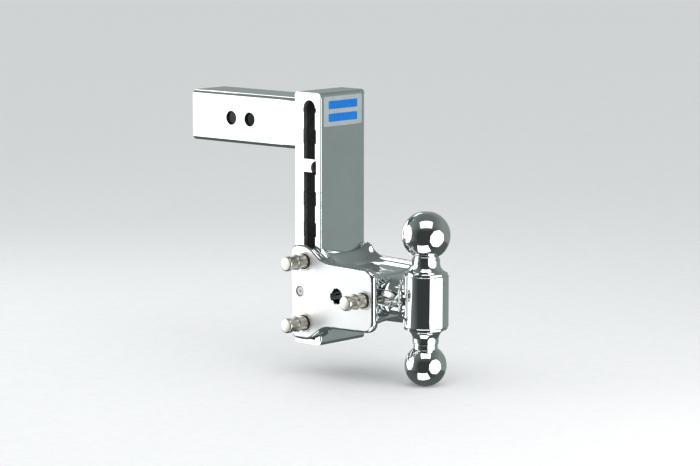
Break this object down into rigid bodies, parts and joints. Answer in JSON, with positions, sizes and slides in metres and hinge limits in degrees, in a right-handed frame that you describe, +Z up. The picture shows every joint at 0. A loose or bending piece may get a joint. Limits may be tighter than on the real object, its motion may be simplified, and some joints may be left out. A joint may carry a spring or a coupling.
{
  "type": "adjustable trailer hitch ball mount",
  "caption": "Chromed adjustable ball mount: receiver shank, slotted drop post, pinned sliding head and a swivelling barrel with a large and a small tow ball.",
  "frame": {"origin": "on the shank's centre line, on the axis of its rear hitch pin hole", "axes": "+X to the rear of the vehicle along the shank, +Y across along the hitch pin, +Z up along the post"},
  "size_m": [0.3909, 0.146, 0.3474],
  "materials": {
    "chrome": "polished chrome plate",
    "head_chrome": "polished chrome plate over a casting",
    "ball_chrome": "mirror chrome",
    "pin_nickel": "turned stainless, slightly warm",
    "spring_steel": "bright spring steel",
    "plug_steel": "satin steel",
    "seal_rubber": "matt black rubber",
    "label": "plain grey decal with two blue bars, no lettering"
  },
  "bodies": {
    "post": {"receiver_shank": "chrome", "shank_weld": "chrome", "post_tube": "chrome", "post_top_cap": "chrome", "post_bottom_cap": "chrome", "rear_label": "label"},
    "head": {"head_casting": "head_chrome", "wear_plugs": "plug_steel"},
    "ball_mount": {"swivel_stem": "chrome", "stem_weld": "chrome", "ball_barrel": "ball_chrome", "large_ball": "ball_chrome", "small_ball": "ball_chrome"},
    "upper_pin": {"upper_pin": "pin_nickel", "upper_pin_clip": "spring_steel", "upper_pin_seal": "seal_rubber", "upper_pin_spring_ring": "spring_steel"},
    "lower_pin": {"lower_pin": "pin_nickel", "lower_pin_clip": "spring_steel", "lower_pin_seal": "seal_rubber", "lower_pin_spring_ring": "spring_steel"},
    "stem_pin": {"stem_pin": "pin_nickel", "stem_pin_clip": "spring_steel", "stem_pin_seal": "seal_rubber", "stem_pin_spring_ring": "spring_steel", "stem_pin_nose": "pin_nickel"}
  },
  "joints": [
    {"name": "height_slide", "type": "slide", "parent": "post", "child": "head", "axis": [0, 0, 1], "range_m": [0, 0.0762]},
    {"name": "ball_swivel", "type": "hinge", "parent": "head", "child": "ball_mount", "pos_m": [0.2055, 0, -0.2032], "axis": [1, 0, 0], "range_deg": [0, 180]},
    {"name": "upper_pin_pull", "type": "slide", "parent": "head", "child": "upper_pin", "axis": [0, -1, 0], "range_m": [0, 0.12]},
    {"name": "lower_pin_pull", "type": "slide", "parent": "head", "child": "lower_pin", "axis": [0, -1, 0], "range_m": [0, 0.12]},
    {"name": "stem_pin_pull", "type": "slide", "parent": "head", "child": "stem_pin", "axis": [0, -1, 0], "range_m": [0, 0.12]}
  ]
}
